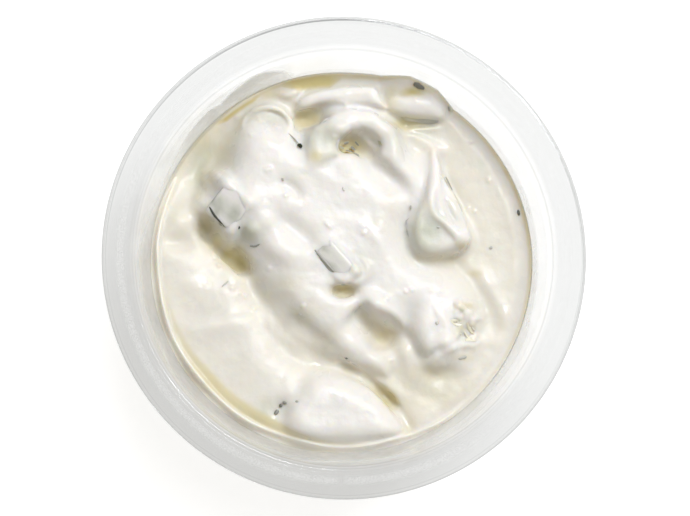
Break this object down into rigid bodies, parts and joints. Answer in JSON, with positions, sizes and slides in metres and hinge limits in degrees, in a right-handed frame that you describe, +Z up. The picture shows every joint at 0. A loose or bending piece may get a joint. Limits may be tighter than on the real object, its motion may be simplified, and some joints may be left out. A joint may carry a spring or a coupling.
{
  "type": "tzatziki dip in a clear pot",
  "caption": "Thick yoghurt dip with cucumber pieces, spooned rough into an open, clear round plastic pot with a flat sealing rim.",
  "frame": {"origin": "middle of the pot's underside, on the surface it stands on", "axes": "+Z up out of the pot; the pot is round, and the uneven dip fixes +X and +Y: the heap runs from the -X +Y side to the +X -Y side"},
  "size_m": [0.1, 0.1, 0.048],
  "materials": {
    "clear_plastic": "clear, glossy thermoformed plastic",
    "yoghurt_dip": "thick glossy cream, ivory, with pale yellow whey in the low places",
    "cucumber": "wet pale green flesh with dark green skin"
  },
  "bodies": {
    "root": {"tub": "clear_plastic", "dip": "yoghurt_dip", "cucumber_dice": "cucumber", "cucumber_sliver": "cucumber", "cucumber_slice": "cucumber", "cucumber_wedge": "cucumber", "cucumber_chunk": "cucumber"}
  },
  "joints": []
}
